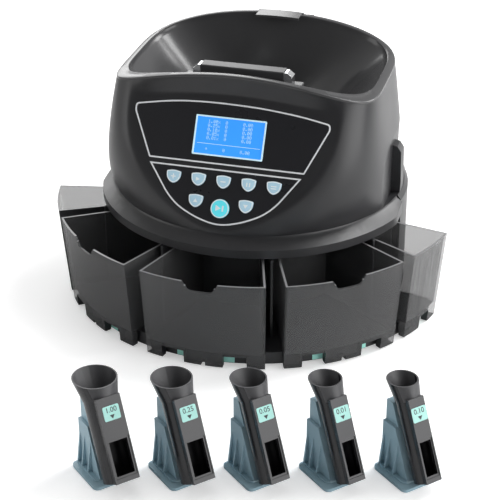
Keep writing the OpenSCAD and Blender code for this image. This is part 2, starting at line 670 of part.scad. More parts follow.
chute_low = bin_top_z + 1.5;
module coin_chutes() color([0.35, 0.35, 0.36])
    for (i = [0:4]) at_bay(bay_at[i]) translate([chute_r, 0, chute_low]) difference() {
        translate([-chute_d / 2, -chute_w[i] / 2, 0]) cube([chute_d, chute_w[i], sorter_z - chute_low]);
        translate([-chute_d / 2 + 2, -chute_w[i] / 2 + 2, -1])
            cube([chute_d - 4, chute_w[i] - 4, sorter_z - chute_low + 2]);
    }

module coin_sensors() color([0.12, 0.12, 0.13])
    for (i = [0:4]) at_bay(bay_at[i]) translate([disc_r + 6, chute_w[i] / 2, sorter_z + sorter_t])
        cube([8, 6, 12]);

// --- electrics ---

board_y = 118;
module main_board() color([0.1, 0.35, 0.2]) translate([0, board_y, 0]) {
    translate([-60, 0, base_z]) cube([120, 1.6, 66]);
    for (c = [[-46, 26, 20], [-12, 22, 14], [22, 50, 18]]) translate([c[0], -8, c[1]]) cube([c[2], 8, 14]);
}

module power_supply() color([0.7, 0.71, 0.72]) {
    translate([-92, 60, base_z]) cube([66, 48, 42]);
    for (x = [-84:12:-36]) translate([x, 70, base_z + 42]) cube([6, 28, 6]);
}

inlet_z = 62;
inlet_w = 50;
inlet_h = 26;
inlet_y = rear_r + touch_gap;
socket_x = -11;
rocker_x = 14;
module power_inlet() color([0.1, 0.1, 0.1]) difference() {
    union() {
        translate([-inlet_w / 2, inlet_y - 2, inlet_z - inlet_h / 2]) cube([inlet_w, 2, inlet_h]);
        translate([-inlet_w / 2 + 2, inlet_y - 20, inlet_z - inlet_h / 2 + 2])
            cube([inlet_w - 4, 19, inlet_h - 4]);
    }
    difference() {
        translate([socket_x - 10, inlet_y - 16, inlet_z - 7]) cube([20, 20, 14]);
        for (b = [[-6, -2], [0, 2], [6, -2]]) translate([socket_x + b[0] - 1, inlet_y - 17, inlet_z + b[1] - 2])
            cube([2, 11, 4]);
    }
    translate([rocker_x - 7.3, inlet_y - 12, inlet_z - 10]) cube([14.6, 20, 20]);
    translate([rocker_x - 9, inlet_y - rocker_in, inlet_z]) rotate([0, 90, 0])
        cylinder(r = 1.5 + touch_gap, h = 18, $fn = 32);
}

rocker_in = 3.5;
rocker_swing = 6;
// Rocker, resting tilted to one side
module power_switch() color([0.14, 0.14, 0.15])
    translate([rocker_x, inlet_y - rocker_in, inlet_z]) rotate([rocker_swing, 0, 0]) {
    translate([-6.8, 0, 0]) rotate([90, 0, 90]) linear_extrude(13.6)
        polygon([[-3.4, -8.6], [3.6, -8.8], [2.4, 0], [3.6, 8.8], [-3.4, 8.6]]);
    translate([-8.5, 0, 0]) rotate([0, 90, 0]) cylinder(r = 1.5, h = 17, $fn = 32);
}

port_x = -52;
port_y = rear_r - 4;
port_z = 62;
module data_port() color([0.55, 0.56, 0.57]) difference() {
    translate([port_x - 9, port_y - 22, port_z - 7]) cube([18, 25, 14]);
    translate([port_x - 7, port_y - 10, port_z - 5]) cube([14, 20, 10]);
}

screw_at = [115, 150, 210, 245];
screw_z = [base_z - 5, deck_z + 2];
screw_r = 1.3;
module housing_screws() color(steel) for (a = screw_at, z = screw_z)
    rotate(a - 90) translate([0, 0, z]) rotate([0, 90, 0]) {
        translate([0, 0, neck_r - 3]) cylinder(r = screw_r, h = rear_r - neck_r + 3, $fn = 32);
        translate([0, 0, rear_r]) cylinder(r = 2.6, h = 1.4, $fn = 32);
    }

// --- coin tubes and stands ---

tube_wall = 1.2;
coin_play = 0.4;
flare_l = 18;                      // length of a tube's mouth
function tube_in(i) = coin_d[i] / 2 + coin_play;
function tube_out(i) = tube_in(i) + tube_wall;
stand_plate = [42, 46, 3];
lean_y = -16;                      // where the stand's slope meets its plate

module at_stand(i) rotate(row_turn) translate([(i - 2) * stand_pitch, -stand_row, 0])
    rotate(stand_turn - row_turn) children();

// Frame along a tube's axis, its front towards -Y
module at_tube(i) at_stand(i) translate([0, lean_y - tube_out(i) * cos(tube_tilt) - 0.1,
    stand_plate[2] + tube_out(i) * sin(tube_tilt) + 0.1]) rotate([-tube_tilt, 0, 0]) children();

// Funnel that starts a little wider than its tube and leans back to a level rim
module mouth(r, z0, r_top, lift) hull() {
    translate([0, 0, z0]) cylinder(r = r * 1.03, h = 0.4, $fn = 32);
    translate([0, r_top * cos(tube_tilt) - r * 1.05, tube_l + lift]) rotate([tube_tilt, 0, 0])
        cylinder(r = r_top, h = 0.3, $fn = 32);
}

module coin_tube(i) {
    r_in = tube_in(i);
    r_out = tube_out(i);
    front_w = r_out * 1.5;
    color([0.08, 0.08, 0.09]) at_tube(i) difference() {
        union() {
            cylinder(r = r_out, h = tube_l - flare_l + 1);
            mouth(r_out, tube_l - flare_l, r_out * 1.32, 0);
            translate([-front_w / 2, -r_out - 1.4, 0]) cube([front_w, r_out, tube_l - flare_l + 2]);
        }
        translate([0, 0, 2]) cylinder(r = r_in, h = tube_l - flare_l - 1);
        mouth(r_in, tube_l - flare_l, r_out * 1.32 - tube_wall, 0.4);
        translate([-r_in * 0.62, -r_out - 3, 6]) cube([r_in * 1.24, r_out, 30]);
        translate([-r_in * 0.74, -r_out - 3, 4]) cube([r_in * 1.48, 2.4, 34]);
    }
}

stand_top = stand_plate[2] + (tube_l - flare_l) * cos(tube_tilt) - 1;
stand_step = stand_top - 20;
module stand_wedge(w, top) translate([-w / 2, 0, 0]) rotate([90, 0, 90]) linear_extrude(w) polygon([
    [lean_y, stand_plate[2]], [22, stand_plate[2]], [22, top],
    [min(20, lean_y + (top - stand_plate[2]) * tan(tube_tilt)), top]]);

module tube_stand(i) color(slate) at_stand(i) {
    plate(stand_plate[0], stand_plate[1], 5, 0, stand_plate[2]);
    difference() {
        union() {
            translate([0, 3, 0]) plate(33, 38, 6, stand_plate[2] - 0.01, stand_plate[2] + 1.6);
            stand_wedge(24, stand_step);
            stand_wedge(18, stand_top);
            for (y = [2, 13, 21]) translate([0, y, 0]) rotate([90, 0, 0]) linear_extrude(2) polygon([
                [-16, stand_plate[2]], [16, stand_plate[2]], [12, stand_step - 12], [-12, stand_step - 12]]);
        }
        // keeps the slope clear for the tube
        translate([-stand_plate[0], lean_y, stand_plate[2]]) rotate([-tube_tilt, 0, 0])
            translate([0, -60, -60]) cube([2 * stand_plate[0], 60, 2 * tube_l]);
    }
}

base_tray();
base_feet();
bay_labels();
bay_walls();
rear_cover();
coin_bin(0);  // coin_bin_1
coin_bin(1);  // coin_bin_2
coin_bin(2);  // coin_bin_3
coin_bin(3);  // coin_bin_4
coin_bin(4);  // coin_bin_5
lower_housing();
upper_housing();
panel_overlay();
panel_lines();
lcd_frame();
lcd_screen();
key(0);  // key_1
key(1);  // key_2
key(2);  // key_3
key(3);  // key_4
key(4);  // key_5
key(5);  // key_6
key(6);  // key_7
key(7);  // key_8
panel_board();
hopper();
hopper_hinge();
hinge_pin();
handle_grip();
handle_brackets();
sorter_deck();
coin_rail();
sorting_disc();
agitator();
drive_shaft();
shaft_bearings();
drive_gear();
motor_pinion();
drive_motor();
motor_bracket();
coin_chutes();
coin_sensors();
main_board();
power_supply();
power_inlet();
power_switch();
data_port();
housing_screws();
coin_tube(0);  // coin_tube_1
coin_tube(1);  // coin_tube_2
coin_tube(2);  // coin_tube_3
coin_tube(3);  // coin_tube_4
coin_tube(4);  // coin_tube_5
tube_stand(0);  // tube_stand_1
tube_stand(1);  // tube_stand_2
tube_stand(2);  // tube_stand_3
tube_stand(3);  // tube_stand_4
tube_stand(4);  // tube_stand_5
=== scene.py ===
"""Dressed model of a desktop coin sorter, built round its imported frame.

Sizes are in millimetres, and each mesh is turned into metres when it is made.
"""
import math

import bpy
import numpy as np
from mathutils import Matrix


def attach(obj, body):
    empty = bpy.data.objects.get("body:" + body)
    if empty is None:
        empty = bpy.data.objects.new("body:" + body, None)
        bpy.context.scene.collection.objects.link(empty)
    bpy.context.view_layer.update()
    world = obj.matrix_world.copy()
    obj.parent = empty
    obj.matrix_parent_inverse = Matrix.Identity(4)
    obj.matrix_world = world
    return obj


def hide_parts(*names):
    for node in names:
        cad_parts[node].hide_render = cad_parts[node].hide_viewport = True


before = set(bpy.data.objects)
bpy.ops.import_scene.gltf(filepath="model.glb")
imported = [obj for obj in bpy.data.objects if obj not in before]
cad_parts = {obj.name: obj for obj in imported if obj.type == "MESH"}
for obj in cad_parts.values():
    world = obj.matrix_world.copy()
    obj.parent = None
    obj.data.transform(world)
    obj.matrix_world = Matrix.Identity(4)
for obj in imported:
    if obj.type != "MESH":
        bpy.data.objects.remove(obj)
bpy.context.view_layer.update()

# ---------------------------------------------------------------- studio
# A white floor, soft lights on both sides and three behind, one of them high up. The world is a
# dome with pale walls at the sides and the back, and is dark overhead and in front.
AZIMUTH, ELEVATION = 15.78, 27.64
DISTANCE = 1618.5
AIM_SIDE, AIM_UP = -9.49, 24.67
SENSOR = 36.0
FOCAL_SHARE = 3.01988              # focal length over the width of the picture
ASIDE, BEHIND = 0.9, 0.35          # what |x| and y of a direction add to its place between dark and pale
DARK_AT, PALE_AT = -0.3, 0.8
DARK, PALE = 0.03, 0.78            # brightness of the dome at those places
FLOOR_HALF, FLOOR_Z = 6.0, -0.0002   # in metres, just under the feet
FLOOR_LIFT = 0.42                  # light that only the camera sees


def place_camera():
    """Camera at DISTANCE from the aim point, along the direction of azimuth and elevation."""
    azimuth, elevation = math.radians(AZIMUTH), math.radians(ELEVATION)
    back = np.array([math.sin(azimuth) * math.cos(elevation),
                     -math.cos(azimuth) * math.cos(elevation), math.sin(elevation)])
    aim = np.array([AIM_SIDE * math.cos(azimuth), AIM_SIDE * math.sin(azimuth), AIM_UP])
    camera = bpy.data.objects.new("camera", bpy.data.cameras.new("camera"))
    camera.data.sensor_width = SENSOR
    camera.data.lens = SENSOR * FOCAL_SHARE
    camera.data.clip_start, camera.data.clip_end = 0.05, 30
    camera.location = (aim + back * DISTANCE) / 1000
    camera.rotation_euler = (math.pi / 2 - elevation, 0, azimuth)
    bpy.context.scene.collection.objects.link(camera)
    bpy.context.scene.camera = camera


def soft_light(name, place, aim, size, watts):
    """Square area light at a place in metres, facing the aim point."""
    lamp = bpy.data.lights.new(name, "AREA")
    lamp.shape, lamp.size, lamp.energy = "SQUARE", size, watts
    holder = bpy.data.objects.new(name, lamp)
    holder.location = place
    facing = np.array(aim, float) - np.array(place, float)
    across = math.hypot(facing[0], facing[1])
    heading = math.atan2(facing[1], facing[0])
    holder.rotation_euler = (math.atan2(across, -facing[2]), 0, heading - math.pi / 2)
    bpy.context.scene.collection.objects.link(holder)


def dome():
    """White where the camera looks past the object. For light and reflections, the dome's
    brightness rises smoothly with ASIDE times |x| plus BEHIND times y, so from the front and
    the top to the walls."""
    world = bpy.context.scene.world or bpy.data.worlds.new("studio")
    bpy.context.scene.world = world
    world.use_nodes = True
    tree = world.node_tree
    tree.nodes.clear()
    coordinates = tree.nodes.new("ShaderNodeTexCoord")
    axes = tree.nodes.new("ShaderNodeSeparateXYZ")
    tree.links.new(coordinates.outputs["Generated"], axes.inputs[0])
    aside, behind, both = (tree.nodes.new("ShaderNodeMath") for _ in range(3))
    aside.operation, behind.operation, both.operation = "ABSOLUTE", "MULTIPLY", "MULTIPLY_ADD"
    behind.inputs[1].default_value, both.inputs[1].default_value = BEHIND, ASIDE
    tree.links.new(axes.outputs["X"], aside.inputs[0])
    tree.links.new(axes.outputs["Y"], behind.inputs[0])
    tree.links.new(aside.outputs[0], both.inputs[0])
    tree.links.new(behind.outputs[0], both.inputs[2])
    depth = tree.nodes.new("ShaderNodeMapRange")
    depth.interpolation_type = "SMOOTHSTEP"
    depth.inputs["From Min"].default_value, depth.inputs["From Max"].default_value = DARK_AT, PALE_AT
    depth.inputs["To Min"].default_value, depth.inputs["To Max"].default_value = DARK, PALE
    tree.links.new(both.outputs[0], depth.inputs["Value"])
    path = tree.nodes.new("ShaderNodeLightPath")
    seen = tree.nodes.new("ShaderNodeMix")
    seen.data_type = "FLOAT"
    tree.links.new(path.outputs["Is Camera Ray"], seen.inputs["Factor"])
    tree.links.new(depth.outputs["Result"], seen.inputs["A"])
    seen.inputs["B"].default_value = 1.0
    shine = tree.nodes.new("ShaderNodeBackground")
    tree.links.new(seen.outputs["Result"], shine.inputs["Strength"])
    out = tree.nodes.new("ShaderNodeOutputWorld")
    tree.links.new(shine.outputs[0], out.inputs["Surface"])


def floor_sheet():
    """Flat white floor that keeps the shadow and is lifted to white for the camera."""
    mesh = bpy.data.meshes.new("floor")
    corners = [(-FLOOR_HALF, -FLOOR_HALF, FLOOR_Z), (FLOOR_HALF, -FLOOR_HALF, FLOOR_Z),
               (FLOOR_HALF, FLOOR_HALF, FLOOR_Z), (-FLOOR_HALF, FLOOR_HALF, FLOOR_Z)]
    mesh.from_pydata(corners, [], [(0, 1, 2, 3)])
    floor = bpy.data.objects.new("floor", mesh)
    bpy.context.scene.collection.objects.link(floor)
    material = bpy.data.materials.new("floor_white")
    material.use_nodes = True
    tree = material.node_tree
    tree.nodes.clear()
    matt = tree.nodes.new("ShaderNodeBsdfDiffuse")
    matt.inputs["Color"].default_value = (0.86, 0.86, 0.86, 1)
    glow = tree.nodes.new("ShaderNodeEmission")
    path = tree.nodes.new("ShaderNodeLightPath")
    lift = tree.nodes.new("ShaderNodeMath")
    lift.operation = "MULTIPLY"
    lift.inputs[1].default_value = FLOOR_LIFT
    tree.links.new(path.outputs["Is Camera Ray"], lift.inputs[0])
    tree.links.new(lift.outputs[0], glow.inputs["Strength"])
    both = tree.nodes.new("ShaderNodeAddShader")
    tree.links.new(matt.outputs[0], both.inputs[0])
    tree.links.new(glow.outputs[0], both.inputs[1])
    out = tree.nodes.new("ShaderNodeOutputMaterial")
    tree.links.new(both.outputs[0], out.inputs["Surface"])
    mesh.materials.append(material)


place_camera()
soft_light("back_high", (0.85, 0.72, 1.9), (0, 0, 0.1), 0.8, 24)
soft_light("back_left", (-1.1, 1.55, 1.1), (0, 0, 0.15), 1.7, 24)
soft_light("back_right", (1.7, 1.5, 1.35), (0, 0, 0.1), 1.0, 28)
soft_light("left", (-1.8, -0.9, 0.7), (0, -0.1, 0.1), 1.0, 5)
soft_light("right", (1.8, -0.5, 0.6), (0, 0, 0.15), 1.4, 20)
dome()
floor_sheet()
bpy.context.scene.view_settings.view_transform = "Standard"

# ---------------------------------------------------------------- base tray, feet and bay walls
# The tray is a round moulding in black ABS with a short skirt. Fins stand on it between the
# bays, round a core, and rubber pads are glued under it.
CLOUDS_PER_M = 22
GRAIN_DEPTH = 0.00003              # in metres
FLAT = math.radians(0.6)           # faces that turn less than this are joined
SHARP = math.radians(35)           # edges that turn more than this are rounded


def plastic(name, colour, rough, grain=0.35, grain_size=0.5, cloud=0.05, metal=0.0):
    """Moulded surface: a fine pebbled grain in the bump, and slow clouds in colour and gloss.
    grain_size is in millimetres, and cloud is the share by which the colour varies."""
    material = bpy.data.materials.new(name)
    material.use_nodes = True
    tree = material.node_tree
    shader = tree.nodes["Principled BSDF"]
    shader.inputs["Metallic"].default_value = metal
    where = tree.nodes.new("ShaderNodeTexCoord")
    clouds = tree.nodes.new("ShaderNodeTexNoise")
    clouds.inputs["Scale"].default_value = CLOUDS_PER_M
    clouds.inputs["Detail"].default_value = 4
    tree.links.new(where.outputs["Object"], clouds.inputs["Vector"])
    shades = tree.nodes.new("ShaderNodeValToRGB")
    darker, lighter = shades.color_ramp.elements
    darker.position, lighter.position = 0.3, 0.7
    darker.color = (*[c * (1 - cloud) for c in colour], 1)
    lighter.color = (*[min(1, c * (1 + cloud)) for c in colour], 1)
    tree.links.new(clouds.outputs["Fac"], shades.inputs["Fac"])
    tree.links.new(shades.outputs["Color"], shader.inputs["Base Color"])
    gloss = tree.nodes.new("ShaderNodeMapRange")
    gloss.inputs["To Min"].default_value = rough * 0.9
    gloss.inputs["To Max"].default_value = min(1, rough * 1.1)
    tree.links.new(clouds.outputs["Fac"], gloss.inputs["Value"])
    tree.links.new(gloss.outputs["Result"], shader.inputs["Roughness"])
    pebbles = tree.nodes.new("ShaderNodeTexNoise")
    pebbles.inputs["Scale"].default_value = 1000 / grain_size
    pebbles.inputs["Detail"].default_value = 2
    tree.links.new(where.outputs["Object"], pebbles.inputs["Vector"])
    bump = tree.nodes.new("ShaderNodeBump")
    bump.inputs["Strength"].default_value = grain
    bump.inputs["Distance"].default_value = GRAIN_DEPTH
    tree.links.new(pebbles.outputs["Fac"], bump.inputs["Height"])
    tree.links.new(bump.outputs["Normal"], shader.inputs["Normal"])
    return material


def dress(name, material, edge):
    """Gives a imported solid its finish. Its loose triangles are merged, flat faces are joined,
    and each sharp edge gets a small round of the width edge. Normals are weighted by area, so
    that large faces stay flat and facets of a curve blend."""
    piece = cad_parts[name]
    piece.data.materials.clear()
    piece.data.materials.append(material)
    if "custom_normal" in piece.data.attributes:
        piece.data.attributes.remove(piece.data.attributes["custom_normal"])
    piece.data.polygons.foreach_set("use_smooth", np.ones(len(piece.data.polygons), bool))
    weld = piece.modifiers.new("weld", "WELD")
    weld.merge_threshold = 1e-5
    joined = piece.modifiers.new("joined", "DECIMATE")
    joined.decimate_type, joined.angle_limit = "DISSOLVE", FLAT
    rounded = piece.modifiers.new("rounded", "BEVEL")
    rounded.limit_method, rounded.angle_limit = "ANGLE", SHARP
    rounded.width, rounded.segments = edge / 1000, 2
    piece.modifiers.new("shading", "WEIGHTED_NORMAL").keep_sharp = True
    return piece


black_abs = plastic("black_abs", (0.024, 0.024, 0.026), 0.36)
rubber = plastic("rubber", (0.02, 0.02, 0.02), 0.8, grain=0.6, grain_size=0.9)
mint_print = plastic("mint_print", (0.38, 0.80, 0.70), 0.45, grain=0.1)
dress("base_tray", black_abs, 0.6)
dress("bay_walls", black_abs, 0.5)
dress("base_feet", rubber, 0.3)
dress("bay_labels", mint_print, 0.1)

# ---------------------------------------------------------------- electrics inside the base
# A switched supply with a finned lid, a green board with its chips, and at the back a mains
# inlet with a rocker beside it and a data socket.
board_green = plastic("board_green", (0.02, 0.13, 0.06), 0.35, grain=0.1, cloud=0.2)
bare_steel = plastic("bare_steel", (0.56, 0.57, 0.58), 0.3, grain=0.3, grain_size=0.2, metal=1.0)
gloss_black = plastic("gloss_black", (0.016, 0.016, 0.018), 0.22, grain=0.05)
dress("main_board", board_green, 0.2)
dress("power_supply", bare_steel, 0.5)
dress("power_inlet", black_abs, 0.4)
dress("power_switch", gloss_black, 0.4)
dress("data_port", bare_steel, 0.3)

# ---------------------------------------------------------------- lower housing and rear cover
# The lower housing carries the sorter and ends in a lip over the bins. The rear cover wraps
# round the back, with air slots, and screws hold it.
inner_grey = plastic("inner_grey", (0.11, 0.11, 0.115), 0.5)
dress("lower_housing", black_abs, 0.8)
dress("rear_cover", black_abs, 0.8)
dress("housing_screws", bare_steel, 0.2)
dress("coin_chutes", inner_grey, 0.3)
dress("coin_sensors", gloss_black, 0.3)

# ---------------------------------------------------------------- sorter and drive
# A steel disc with ribs turns under a fixed rail. Below the deck, a motor drives it through
# a pinion and a large moulded gear.
gear_white = plastic("gear_white", (0.62, 0.61, 0.57), 0.45)
motor_grey = plastic("motor_grey", (0.17, 0.17, 0.18), 0.35, metal=0.6)
dress("sorter_deck", inner_grey, 0.4)
for part in ("coin_rail", "sorting_disc", "drive_shaft", "shaft_bearings", "motor_pinion",
             "motor_bracket"):
    dress(part, bare_steel, 0.15)
dress("agitator", inner_grey, 0.5)
dress("drive_gear", gear_white, 0.15)
dress("drive_motor", motor_grey, 0.4)

# ---------------------------------------------------------------- coin bins
# Five sliding bins in smoked clear plastic with thin walls, straight draught on the front and
# a finger dip in each wide one. Their rims are painted paler, a painted highlight, and their
# feet are opaque black ABS, painted shade for the shaded floor behind them.
SMOKE = 0.47                       # share of the light that a bin's wall stops
RIM_FROM, FOOT_TO = 90.0, 17.0     # heights over which a bin's rim and under which its foot lies
bin_smoke = plastic("bin_smoke", (0.11, 0.11, 0.112), 0.3, grain=0.1)
bin_smoke.node_tree.nodes["Principled BSDF"].inputs["Alpha"].default_value = SMOKE
# Paler plastic for the bins' top faces, a painted highlight along their rims.
bin_rim_painted_highlight = plastic("bin_rim_painted_highlight", (0.24, 0.24, 0.245), 0.35, grain=0.1)


def faces_of(piece):
    """Directions and middles of a piece's faces."""
    facing, middle = (np.zeros(3 * len(piece.data.polygons)) for _ in range(2))
    piece.data.polygons.foreach_get("normal", facing)
    piece.data.polygons.foreach_get("center", middle)
    return facing.reshape(-1, 3), middle.reshape(-1, 3) * 1000


for number in range(1, 6):
    coin_bin = dress(f"coin_bin_{number}", bin_smoke, 0.5)
    coin_bin.data.materials.append(bin_rim_painted_highlight)
    coin_bin.data.materials.append(black_abs)
    facing, middle = faces_of(coin_bin)
    distance = np.linalg.norm(middle[:, :2], axis=1)
    outwards = np.sum(facing[:, :2] * middle[:, :2], axis=1) / distance
    # Top faces of the rims get the painted highlight, and the feet get black ABS as painted shade.
    painted_highlight = (facing[:, 2] > 0.9) & (middle[:, 2] > RIM_FROM)
    foot_painted_shade = (middle[:, 2] < FOOT_TO) & (outwards < 0.8)
    finish_of = (painted_highlight + 2 * foot_painted_shade).astype(np.int32)
    coin_bin.data.polygons.foreach_set("material_index", finish_of)

# ---------------------------------------------------------------- upper housing
# One large moulding in black ABS, round at its neck and squarish at the rim, with flat sides
# and a shallower back. A flat slope for the control panel is cut across its front, under a brow.
NECK_R, NECK_Z = 150.0, 118.0
SIDE_X, BACK_R = 141.5, 130.0
RIM_HALF_W, RIM_FRONT, RIM_BACK = 133.0, 91.0, 87.0
RIM_HALF_D, RIM_MIDDLE = (RIM_FRONT + RIM_BACK) / 2, (RIM_BACK - RIM_FRONT) / 2
RIM_Z, RIM_DROP, RIM_RISE = 260.0, 22.5, 0.042
RIM_EDGE = 0.3                     # how far the front stays behind the rim's edge
RIM_POWER, BACK_POWER = 5.4, 3.8
BULGE = 1.3                        # how long the front stays full before it leans back
FLANGE_T = 2.2
SHELL = 3.0
PANEL_RUN, PANEL_RISE = 63.6, 118.0
PANEL_TILT = math.atan(PANEL_RUN / PANEL_RISE)
PANEL_Y, PANEL_Z = -98.48, 217.3
BROW_Z, BROW_DROP = 236.0, 15.6
CREASE_R, BROW_R = 1.6, 1.2        # softness of the panel's outer edges and of the brow's crease
HINGE_Y, HINGE_Z = RIM_BACK + 8, RIM_Z - 5


def mix(a, b, k):
    """The value at share k of the way from a to b."""
    return a + (b - a) * k


def super_r(w, h, power, angle):
    """How far a superellipse with half axes w and h reaches towards an angle. It is an ellipse
    at power 2, and the higher the power, the squarer it is."""
    return ((np.abs(np.cos(angle)) / w) ** power + (np.abs(np.sin(angle)) / h) ** power) ** (-1 / power)


def rim_height(x, y):
    """Height of the rim: a parabola across, and a slight rise to the back."""
    return RIM_Z - RIM_DROP * (x / RIM_HALF_W) ** 2 + RIM_RISE * y


def outline(k, angle, inset):
    """Plan of the housing at level k: superellipses whose half axes and powers go from the
    neck's at 0 to the rim's at 1, one in front and a shallower one behind, between flat sides.
    Returns x, y, and the middle's y."""
    width = mix(NECK_R, RIM_HALF_W, k) - inset
    side = np.minimum(width, SIDE_X - inset)
    front_depth = mix(NECK_R, RIM_HALF_D, k ** BULGE) - inset
    back_depth = mix(BACK_R, RIM_HALF_D, k) - inset
    front = super_r(width, front_depth, mix(2, RIM_POWER, k), angle)
    front = np.minimum(front, side / np.abs(np.cos(angle)))
    back = super_r(side, back_depth, mix(2, BACK_POWER, k), angle)
    r = np.where(np.sin(angle) < 0, front, back)
    middle = RIM_MIDDLE * k
    return r * np.cos(angle), middle + r * np.sin(angle), middle


def soft_low(a, b, reach):
    """The lower of a and b, blended by a parabola where they are within reach of each other."""
    share = np.clip(0.5 + 0.5 * (b - a) / reach, 0, 1)
    return mix(b, a, share) - reach * share * (1 - share)


def front_y(x, z, depth):
    """How far the front reaches at x and z: on the panel's slope up to the brow's crease, and
    on a straight line from there to the rim. depth moves it inwards."""
    across = np.clip(np.abs(x) / RIM_HALF_W, 0, 0.995)
    slope = PANEL_Y + (z - PANEL_Z) * math.tan(PANEL_TILT) + depth / math.cos(PANEL_TILT)
    crease_z = BROW_Z - BROW_DROP * across ** 2
    crease_y = PANEL_Y + (crease_z - PANEL_Z) * math.tan(PANEL_TILT) + depth
    rim_bow = RIM_HALF_D * (1 - across ** RIM_POWER) ** (1 / RIM_POWER)
    rim_y = RIM_MIDDLE - rim_bow + depth + RIM_EDGE
    rim_z = rim_height(x, rim_y) - FLANGE_T
    brow = mix(crease_y, rim_y, (z - crease_z) / np.maximum(rim_z - crease_z, 5))
    return soft_low(slope, brow, BROW_R)


def rays(count):
    """Directions spread evenly round a full turn, the first one half a step in."""
    return (np.arange(count) + 0.5) / count * 2 * math.pi


def housing_sheet(levels, angles, inset):
    """One side of the housing's wall. Each ring is the outline at its level, and its radius is
    the softened lower of the outline's and the one at which the ray meets the front. The front
    depends on x, so this is done six times, each time from the last x."""
    k, angle = np.meshgrid(levels, angles, indexing="ij")
    x, y, middle = outline(k, angle, inset)
    rim_x, rim_y, _ = outline(1, angle, inset)
    z = NECK_Z + (rim_height(rim_x, rim_y) - FLANGE_T - NECK_Z) * k
    r = np.hypot(x, y - middle)
    ahead = np.sin(angle) < -0.05      # rays that look to the front
    for _ in range(6):
        wall = (front_y(x, z, inset) - middle) / np.where(ahead, np.sin(angle), -1)
        cut = np.where(ahead, soft_low(r, wall, CREASE_R), r)
        x = cut * np.cos(angle)
    return np.stack([x, middle + cut * np.sin(angle), z], axis=-1)


def skin(name, rows, material, body, loop_rows=False, capped=False, sharp=40):
    """Mesh over a grid of points rows[j, i], with a quad between neighbours. Each row closes
    into a loop. loop_rows joins the last row to the first one, and capped closes both with
    flat faces. Faces are turned outwards by the sign of the enclosed volume."""
    m, n = rows.shape[:2]
    index = np.arange(m * n).reshape(m, n)
    if loop_rows:
        index = np.vstack([index, index[:1]])
    index = np.hstack([index, index[:, :1]])
    around = [index[:-1, :-1], index[:-1, 1:], index[1:, 1:], index[1:, :-1]]
    quads = np.stack(around, axis=-1).reshape(-1, 4)
    points = rows.reshape(-1, 3) / 1000
    a, b, c, d = (points[quads[:, i]] for i in range(4))
    halves = np.cross(b - a, c - a) + np.cross(c - a, d - a)
    volume = np.einsum("ij,ij->", halves, a)
    faces = quads.tolist()
    if capped:
        faces += [list(range(n))[::-1], list(range((m - 1) * n, m * n))]
    if volume < 0:
        faces = [face[::-1] for face in faces]
    mesh = bpy.data.meshes.new(name)
    mesh.from_pydata(points.tolist(), [], faces)
    mesh.polygons.foreach_set("use_smooth", np.ones(len(mesh.polygons), bool))
    mesh.set_sharp_from_angle(angle=math.radians(sharp))
    mesh.materials.append(material)
    mesh.update()
    piece = bpy.data.objects.new(name, mesh)
    bpy.context.scene.collection.objects.link(piece)
    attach(piece, body)
    return piece


outer = housing_sheet(np.linspace(0, 1, 135), rays(420), 0)
inner = housing_sheet(np.linspace(1, 0, 14), rays(420), SHELL)
housing = skin("housing_shell", np.concatenate([outer, inner]), black_abs, "machine",
               loop_rows=True)
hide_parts("upper_housing")


def bar(name, profile, start, end, place, material, body, edge):
    """Straight bar: the profile of [across, up] points is carried from start to end.
    place turns arrays of along, across and up into x, y and z."""
    profile = np.array(profile, float)
    ends = np.array([start, end], float)[:, None]
    rows = place(*np.broadcast_arrays(ends, profile[:, 0], profile[:, 1]))
    piece = skin(name, np.stack(rows, axis=-1), material, body, capped=True, sharp=35)
    rounded = piece.modifiers.new("rounded", "BEVEL")
    rounded.limit_method, rounded.angle_limit = "ANGLE", SHARP
    rounded.width, rounded.segments, rounded.harden_normals = edge / 1000, 3, True
    return piece


def across_x(along, across, up):
    """Place for a bar that runs along x."""
    return along, across, up


LUG_X, LUG_FRONT, LUG_BACK = 139.5, -12.0, 4.0
EAR_X, EAR_HALF_W, EAR_R = 29.0, 4.0, 4.5
lug = [(LUG_X, NECK_Z), (151, NECK_Z), (151.5, NECK_Z + 12), (150.6, NECK_Z + 44),
       (146.5, NECK_Z + 50), (LUG_X, NECK_Z + 51.4)]
ear_top = [(HINGE_Y + EAR_R * math.cos(turn), HINGE_Z + EAR_R * math.sin(turn))
           for turn in np.radians(np.arange(-30, 181, 15))]
ear = [(RIM_BACK - 2, HINGE_Z - 30), *ear_top, (RIM_BACK + 2.4, HINGE_Z - 5), (RIM_BACK - 2, HINGE_Z - 8)]
for side, label in ((-1, "left"), (1, "right")):
    bar(f"side_lug_{label}", lug, LUG_FRONT, LUG_BACK,
        lambda along, across, up, s=side: (s * across, along, up), black_abs, "machine", 0.6)
for side, label in ((-EAR_X, "left"), (EAR_X, "right")):
    bar(f"hinge_ear_{label}", ear, side - EAR_HALF_W, side + EAR_HALF_W, across_x, black_abs,
        "machine", 0.8)

# ---------------------------------------------------------------- control panel
# A printed film with white lines round its two fields, a framed liquid crystal display, and
# eight keys that stand through the film, carried by a board behind.
LCD_W, LCD_H = 70.7, 38.8
FILM_T = 0.5
LINE_W, LINE_T = 1.5, 0.15
KEY_PITCH, KEY_ROW, KEY_LOW, ROUND_KEY = 25.0, -62.2, -83.0, -87.9
KEY_W, ROUND_D, KEY_GAP = 14.6, 18.3, 0.3
KEY_TOP = FILM_T + 1.4


def on_panel(u, v, w):
    """Point at u across, v up the slope and w out of it."""
    sine, cosine = math.sin(PANEL_TILT), math.cos(PANEL_TILT)
    return u, PANEL_Y + v * sine - w * cosine, PANEL_Z + v * cosine + w * sine


